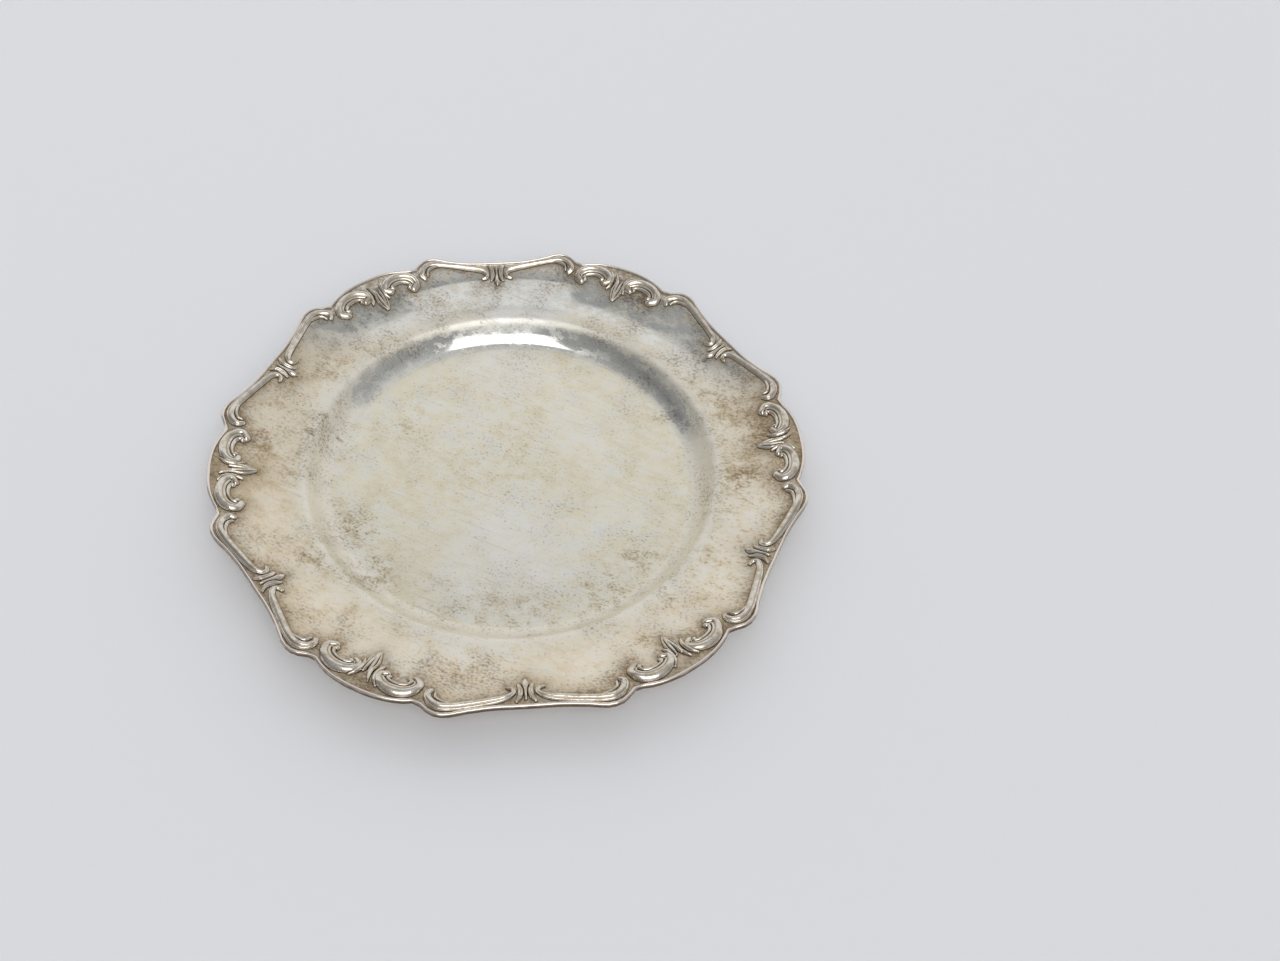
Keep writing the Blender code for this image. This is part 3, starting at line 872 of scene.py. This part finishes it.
# %% Patterns on the sheet
CLOUD_SIZE = 30 * MM
MOTTLE_SIZE = 4.5 * MM
GRAIN_SIZE = 0.85 * MM
SWARM_SIZE = 17 * MM
sheet_silver, tree = new_material("tarnished silver sheet")
place = add_node(tree, "TexCoord").outputs["Object"]
shades = {name: add_node(tree, "Attribute", attribute_name=name).outputs["Fac"]
          for name in ("clean", "dirt_and_shade", "wall", "stain", "pale")}
drawn_out = add_node(tree, "Mapping", {"Vector": place, "Rotation": (0, 0, -CAMERA_YAW),
                                       "Scale": (0.70, 1.0, 1.0)})
clouds = add_node(tree, "TexNoise", {"Vector": place, "Scale": 1 / CLOUD_SIZE, "Detail": 7.0,
                                     "Roughness": 0.62})
mottle = add_node(tree, "TexNoise", {"Vector": drawn_out, "Scale": 1 / MOTTLE_SIZE,
                                     "Detail": 6.0, "Roughness": 0.72})
grain = add_node(tree, "TexNoise", {"Vector": drawn_out, "Scale": 1 / GRAIN_SIZE,
                                    "Detail": 3.0, "Roughness": 0.6})
swarms = add_node(tree, "TexNoise", {"Vector": place, "Scale": 1 / SWARM_SIZE, "Detail": 4.0})
tone = add_node(tree, "Math", {0: mottle, 1: 1.4, 2: clouds}, operation="MULTIPLY_ADD")
tone_share = add_node(tree, "MapRange", {"Value": tone, "From Min": 0.88, "From Max": 1.52})
in_plan = add_node(tree, "VectorMath", {0: place, 1: (1.0, 1.0, 0.0)}, operation="MULTIPLY")
radius_here = add_node(tree, "VectorMath", {0: in_plan}, operation="LENGTH")
print("numbers read from the sheet's points:", ", ".join(shades))

# %% Colour of the film
# The film on the rim is warmer than on the floor, and on the wall and in rubbed places it is thin.
inner_film = add_node(tree, "ValToRGB", {"Fac": tone_share}, stops=[
    (0.0, linear("#e6dcc4")), (0.35, linear("#efe8d3")), (0.6, linear("#f3efe0")),
    (1.0, linear("#f1f1eb"))])
outer_film = add_node(tree, "ValToRGB", {"Fac": tone_share}, stops=[
    (0.0, linear("#d2c0a2")), (0.35, linear("#ecdfc7")), (0.6, linear("#f4ead7")),
    (1.0, linear("#f6f3e9"))])
outer_share = add_node(tree, "MapRange", {"Value": radius_here, "From Min": 80 * MM,
                                          "From Max": 92 * MM})
sheet_film = add_node(tree, "Mix", {0: outer_share, 6: inner_film, 7: outer_film},
                      data_type="RGBA")
wall_share = add_node(tree, "Math", {0: shades["wall"], 1: 0.8}, operation="MULTIPLY")
wall_film = add_node(tree, "Mix", {0: wall_share, 6: sheet_film, 7: linear("#f8f4ea")},
                     data_type="RGBA")
pale_part = add_node(tree, "Math", {0: shades["pale"], 1: clouds}, operation="MULTIPLY")
thin_film = add_node(tree, "Mix", {0: pale_part, 6: wall_film, 7: linear("#f7f7f6")},
                     data_type="RGBA")
rubbed = add_node(tree, "MapRange", {"Value": mottle, "From Min": 0.57, "From Max": 0.45,
                                     "To Min": 0.45, "To Max": 1.0})
clean_part = add_node(tree, "Math", {0: shades["clean"], 1: rubbed}, operation="MULTIPLY")
bare = add_node(tree, "Mix", {0: clean_part, 6: thin_film, 7: linear("#eaebe7")},
                data_type="RGBA")
print("nodes so far:", len(tree.nodes))

# %% Brown dirt and painted shade, specks and stains
# Dirt and painted shade lie at the foot of the border. Stains are a brown haze in which the specks
# crowd together.
brown_part = add_node(tree, "MapRange", {"Value": mottle, "From Min": 0.36, "From Max": 0.62,
                                         "To Min": 0.35, "To Max": 1.0})
# The border's foot is darkened: brown dirt, and painted shade where the border shades the sheet.
foot = add_node(tree, "Math", {0: shades["dirt_and_shade"], 1: brown_part}, operation="MULTIPLY")
foot_share = add_node(tree, "Math", {0: foot, 1: 0.78}, operation="MULTIPLY")
foot_dirt_and_shade = add_node(tree, "Mix", {0: foot_share, 6: bare, 7: linear("#8c7652")},
                     data_type="RGBA")
swarm_part = add_node(tree, "MapRange", {"Value": swarms, "From Min": 0.44, "From Max": 0.72,
                                         "To Max": 0.7})
rim_share = add_node(tree, "MapRange", {"Value": radius_here, "From Min": 50 * MM,
                                        "From Max": 80 * MM, "To Min": 0.5, "To Max": 1.0})
rim_swarm = add_node(tree, "Math", {0: swarm_part, 1: rim_share}, operation="MULTIPLY")
broken = add_node(tree, "MapRange", {"Value": tone, "From Min": 1.32, "From Max": 1.02,
                                     "To Min": 0.10, "To Max": 1.15})
stain_part = add_node(tree, "Math", {0: shades["stain"], 1: broken}, operation="MULTIPLY")
crowd = add_node(tree, "Math", {0: rim_swarm, 1: stain_part}, operation="MAXIMUM")
stain_haze = add_node(tree, "Math", {0: crowd, 1: 0.30}, operation="MULTIPLY")
hazed = add_node(tree, "Mix", {0: stain_haze, 6: foot_dirt_and_shade, 7: linear("#a08c6d")},
                 data_type="RGBA")
crowding = add_node(tree, "Math", {0: shades["dirt_and_shade"], 1: 0.5, 2: crowd},
                    operation="MULTIPLY_ADD")
raised = add_node(tree, "Math", {0: crowding, 1: 0.27, 2: grain}, operation="MULTIPLY_ADD")
speck = add_node(tree, "MapRange", {"Value": raised, "From Min": 0.60, "From Max": 0.86,
                                    "To Max": 0.72})
speckled = add_node(tree, "Mix", {0: speck, 6: hazed, 7: linear("#7e6344")}, data_type="RGBA")
print("nodes so far:", len(tree.nodes))

# %% Hairline scratches and the sheen
# Real hairlines are far finer. Half a millimetre is the finest that shows from this distance.
SCRATCH_LENGTH = 22 * MM
SCRATCH_WIDTH = 0.5 * MM
scratch_place = add_node(tree, "Mapping", {
    "Vector": place, "Rotation": (0, 0, -CAMERA_YAW),
    "Scale": (1 / SCRATCH_LENGTH, 1 / SCRATCH_WIDTH, 1.0)})
scratches = add_node(tree, "TexNoise", {"Vector": scratch_place, "Scale": 1.0, "Detail": 2.0,
                                        "Distortion": 0.6})
scratch = add_node(tree, "MapRange", {"Value": scratches, "From Min": 0.60, "From Max": 0.74,
                                      "To Max": 0.35})
scratched = add_node(tree, "Mix", {0: scratch, 6: speckled, 7: linear("#b8ae98")},
                     data_type="RGBA")
satin = add_node(tree, "MapRange", {"Value": mottle, "From Min": 0.35, "From Max": 0.65,
                                    "To Min": 0.28, "To Max": 0.40})
bright = add_node(tree, "MapRange", {"Value": mottle, "From Min": 0.35, "From Max": 0.65,
                                     "To Min": 0.08, "To Max": 0.14})
wall_satin = add_node(tree, "Math", {0: shades["wall"], 1: 0.22, 2: satin},
                      operation="MULTIPLY_ADD")
sheen = add_node(tree, "Mix", {0: clean_part, 2: wall_satin, 3: bright})
dull = add_node(tree, "Math", {0: foot, 1: 0.20, 2: sheen}, operation="MULTIPLY_ADD")
beaten = add_node(tree, "Bump", {"Height": mottle, "Strength": 0.3, "Distance": 0.05 * MM})
shader = add_node(tree, "BsdfPrincipled", {"Metallic": 1.0, "Base Color": scratched,
                                           "Roughness": dull, "Normal": beaten})
add_node(tree, "OutputMaterial", {"Surface": shader})
print("the sheet's finish has", len(tree.nodes), "nodes")

# %% [markdown]
# ## Struck silver border and drawn silver wire
# The border is polished on its high places, with a thin brown line of dirt and painted shade at its
# foot and in its grooves. The wire is bright where hands and cloths rub it on top, and brown and
# dull on its outer, lower half, from tarnish and from painted shade on the side turned from the
# light. The numbers kept on the points say how high and how hollow each place is, so the dirt and
# painted shade follow the relief of every piece.

# %% Struck silver border
BORDER_FILM_SIZE = 2.4 * MM
cast_silver, tree = new_material("struck silver border")
place = add_node(tree, "TexCoord").outputs["Object"]
lift = add_node(tree, "Attribute", attribute_name="lift").outputs["Fac"]
hollow = add_node(tree, "Attribute", attribute_name="hollow").outputs["Fac"]
# Low and hollow places are darkened: dirt, and painted shade in the recesses.
low = add_node(tree, "MapRange", {"Value": lift, "From Min": 0.55, "From Max": 0.08})
deep = add_node(tree, "MapRange", {"Value": hollow, "From Min": 0.0, "From Max": 0.13})
recess_dirt_and_shade = add_node(tree, "Math", {0: low, 1: deep}, operation="MAXIMUM")
film = add_node(tree, "TexNoise", {"Vector": place, "Scale": 1 / BORDER_FILM_SIZE,
                                   "Detail": 5.0, "Roughness": 0.65})
haze = add_node(tree, "MapRange", {"Value": film, "From Min": 0.42, "From Max": 0.66,
                                   "To Max": 0.45})
dirt_and_shade_share = add_node(tree, "Math", {0: recess_dirt_and_shade, 1: haze}, operation="MAXIMUM")
colour = add_node(tree, "ValToRGB", {"Fac": dirt_and_shade_share}, stops=[
    (0.0, linear("#e6e1d9")), (0.40, linear("#c6b9a4")), (0.75, linear("#877760")),
    (1.0, linear("#524633"))])
rough = add_node(tree, "MapRange", {"Value": dirt_and_shade_share, "To Min": 0.16, "To Max": 0.50})
shader = add_node(tree, "BsdfPrincipled", {"Metallic": 1.0, "Base Color": colour,
                                           "Roughness": rough})
add_node(tree, "OutputMaterial", {"Surface": shader})
print("the border's finish has", len(tree.nodes), "nodes")

# %% Drawn silver wire
WIRE_FILM_SIZE = 3 * MM
wire_silver, tree = new_material("drawn silver wire")
place = add_node(tree, "TexCoord").outputs["Object"]
under = add_node(tree, "Attribute", attribute_name="under").outputs["Fac"]
film = add_node(tree, "TexNoise", {"Vector": place, "Scale": 1 / WIRE_FILM_SIZE, "Detail": 5.0})
# Outer, lower side darkened: tarnish, and painted shade on the side away from the light.
browned_and_shaded = add_node(tree, "Math", {0: film, 1: 1.2, 2: under}, operation="MULTIPLY_ADD")
dirt_and_shade_share = add_node(tree, "MapRange", {"Value": browned_and_shaded, "From Min": 0.25, "From Max": 1.15})
colour = add_node(tree, "ValToRGB", {"Fac": dirt_and_shade_share}, stops=[
    (0.0, linear("#ece4dd")), (0.45, linear("#c0ae9c")), (1.0, linear("#77664f"))])
rough = add_node(tree, "MapRange", {"Value": dirt_and_shade_share, "To Min": 0.20, "To Max": 0.48})
shader = add_node(tree, "BsdfPrincipled", {"Metallic": 1.0, "Base Color": colour,
                                           "Roughness": rough})
add_node(tree, "OutputMaterial", {"Surface": shader})
print("the wire's finish has", len(tree.nodes), "nodes")

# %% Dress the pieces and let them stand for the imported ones
dressed = [(fine_sheet, "tray_sheet", sheet_silver, "sheet_silver"),
           (edge_wire, "edge_wire", wire_silver, "wire_silver")]
dressed += [(piece, node, cast_silver, "cast_silver") for node, piece in border]
for piece, node, material, slot in dressed:
    piece.data.materials.clear()
    piece.data.materials.append(material)
    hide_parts(node)
    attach(piece, "root")
print("dressed pieces:", len(dressed))

# %% [markdown]
# ## Floor and light
# The tray lies on plain white paper in a white studio. Polished silver shows little of its own
# colour and much of the room, so the room is drawn with care: a white backdrop behind, a darker
# ceiling, a bright soft box over the camera, a lighter wall behind the camera, and dim sides.

# %% The floor
PAPER_WIDTH = 3.0
PAPER_GAP = 0.02 * MM
floor = new_primitive(bpy.ops.mesh.primitive_plane_add, "studio_floor", size=PAPER_WIDTH,
                      location=(0, 0, -PAPER_GAP))
paper, tree = new_material("matt white paper")
shader = add_node(tree, "BsdfPrincipled", {"Base Color": linear("#eeeff3"), "Roughness": 0.9})
add_node(tree, "OutputMaterial", {"Surface": shader})
floor.data.materials.append(paper)
print("the paper is", PAPER_WIDTH, "m wide")

# %% Measures of a direction in the room
# Each measure is a number that rises across one edge of a bright patch. Straight ahead is where the
# camera looks, so the directions are turned with it once.
MIDDLE_OF_FRONT_WALL = (0.201, -0.908, 0.367)
LOWEST_UPWARD = 0.02
world = bpy.data.worlds.new("white studio")
world.use_nodes = True
bpy.context.scene.world = world
tree = world.node_tree
tree.nodes.clear()
direction = add_node(tree, "TexCoord").outputs["Generated"]
turned = add_node(tree, "Mapping", {"Vector": direction, "Rotation": (0, 0, -CAMERA_YAW)},
                  vector_type="VECTOR")
axes = add_node(tree, "SeparateXYZ", {0: turned}).outputs
upward = add_node(tree, "Math", {0: axes["Z"], 1: LOWEST_UPWARD}, operation="MAXIMUM")
width = add_node(tree, "Math", {0: axes["X"]}, operation="ABSOLUTE")
to_right = add_node(tree, "Math", {0: axes["X"], 1: upward}, operation="DIVIDE")
to_back = add_node(tree, "Math", {0: axes["Y"], 1: upward}, operation="DIVIDE")
measures = {
    "over the backdrop": add_node(tree, "Math", {0: upward, 1: -0.56, 2: axes["Y"]},
                                  operation="MULTIPLY_ADD"),
    "beside the backdrop": add_node(tree, "Math", {0: width, 1: -0.35, 2: axes["Y"]},
                                    operation="MULTIPLY_ADD"),
    "ceiling to the right": to_right,
    "ceiling to the back": to_back,
    "ceiling aslant": add_node(tree, "Math", {0: to_back, 1: 0.6, 2: to_right},
                               operation="MULTIPLY_ADD"),
    "towards the front": add_node(tree, "VectorMath", {0: turned, 1: MIDDLE_OF_FRONT_WALL},
                                  operation="DOT_PRODUCT"),
}
print("measures of a direction:", len(measures))

# %% Dim walls and ceiling
# Each side of the room has its own tones from the floor, 0, to straight overhead, 1. A direction
# between two sides takes its share of both.
JUST_OVER_ONE = 1.0001


def grey(value, cool=0.0):
    """A grey with a slight cool tint."""
    return (value * (1 - cool), value, value * (1 + cool), 1.0)


SIDES = {
    "behind": ("Y", 1, [(0.00, grey(0.40)), (0.64, grey(0.32, 0.04)), (0.72, grey(0.36, 0.04)),
                        (0.80, grey(0.44, 0.04)), (0.93, grey(0.52, 0.02)), (1.0, grey(0.55))]),
    "right": ("X", 1, [(0.00, grey(0.46)), (0.16, grey(0.41)), (0.30, grey(0.36)),
                       (0.54, grey(0.50)), (0.70, grey(0.60)), (1.0, grey(0.58))]),
    "front": ("Y", -1, [(0.00, grey(0.06)), (0.10, grey(0.16)), (0.20, grey(0.33)),
                        (0.50, grey(0.37)), (0.75, grey(0.46)), (1.0, grey(0.55))]),
    "left": ("X", -1, [(0.00, grey(0.32)), (0.10, grey(0.30)), (0.26, grey(0.21)),
                       (0.54, grey(0.34)), (0.72, grey(0.40)), (0.90, grey(0.50)),
                       (1.0, grey(0.55))]),
}
up = add_node(tree, "Math", {0: axes["Z"]}, operation="ARCSINE")
height_share = add_node(tree, "Math", {0: up, 1: 2 / math.pi}, operation="MULTIPLY")
square_up = add_node(tree, "Math", {0: axes["Z"], 1: axes["Z"]}, operation="MULTIPLY")
square_flat = add_node(tree, "Math", {0: JUST_OVER_ONE, 1: square_up}, operation="SUBTRACT")
light = None
for axis, sign, stops in SIDES.values():
    facing = add_node(tree, "Math", {0: axes[axis], 1: float(sign)}, operation="MULTIPLY")
    ahead = add_node(tree, "Math", {0: facing, 1: 0.0}, operation="MAXIMUM")
    square = add_node(tree, "Math", {0: ahead, 1: ahead}, operation="MULTIPLY")
    weight = add_node(tree, "Math", {0: square, 1: square_flat}, operation="DIVIDE")
    tone = add_node(tree, "ValToRGB", {"Fac": height_share}, stops=stops)
    part = add_node(tree, "VectorMath", {0: tone, "Scale": weight}, operation="SCALE")
    if light is None:
        light = part
    else:
        light = add_node(tree, "VectorMath", {0: light, 1: part}, operation="ADD")
print("sides of the room:", ", ".join(SIDES))

# %% Backdrop, soft box and a lighter wall in front
PATCHES = {
    "backdrop": (grey(0.81), [("over the backdrop", -0.008, 0.008),
                              ("beside the backdrop", -0.10, 0.08)]),
    "soft box": (grey(2.7), [("ceiling to the right", -0.34, -0.24),
                             ("ceiling aslant", 0.31, 0.18),
                             ("ceiling to the back", -1.60, -1.25),
                             ("ceiling to the back", -0.22, -0.42)]),
    "front wall": (grey(0.74), [("towards the front", 0.93, 0.985)]),
}
for tone, edges in PATCHES.values():
    share = None
    for measure, dark, bright in edges:
        edge = add_node(tree, "MapRange", {"Value": measures[measure], "From Min": dark,
                                           "From Max": bright},
                        interpolation_type="SMOOTHSTEP")
        if share is None:
            share = edge
        else:
            share = add_node(tree, "Math", {0: share, 1: edge}, operation="MULTIPLY")
    light = add_node(tree, "Mix", {0: share, 6: light, 7: tone}, data_type="RGBA")
glow = add_node(tree, "Background", {"Color": light, "Strength": 1.0})
add_node(tree, "OutputWorld", {"Surface": glow})
print("bright patches:", ", ".join(PATCHES))

# %% A faint wide lamp above the left
# It only softens the shadow on the paper. The silver doesn't mirror it.
LAMP_PLACE = Vector((-0.75, 0.55, 1.6))
lamp_data = bpy.data.lights.new("wide lamp", "AREA")
lamp_data.shape = "DISK"
lamp_data.size = 2.4
lamp_data.energy = 2.75
lamp = bpy.data.objects.new("wide lamp", lamp_data)
bpy.context.scene.collection.objects.link(lamp)
lamp.location = LAMP_PLACE
lamp.rotation_euler = (-LAMP_PLACE).to_track_quat("-Z", "Y").to_euler()
lamp.visible_glossy = False
bpy.context.scene.view_settings.view_transform = "Standard"
print("the lamp is", round(LAMP_PLACE.length, 2), "m from the tray")
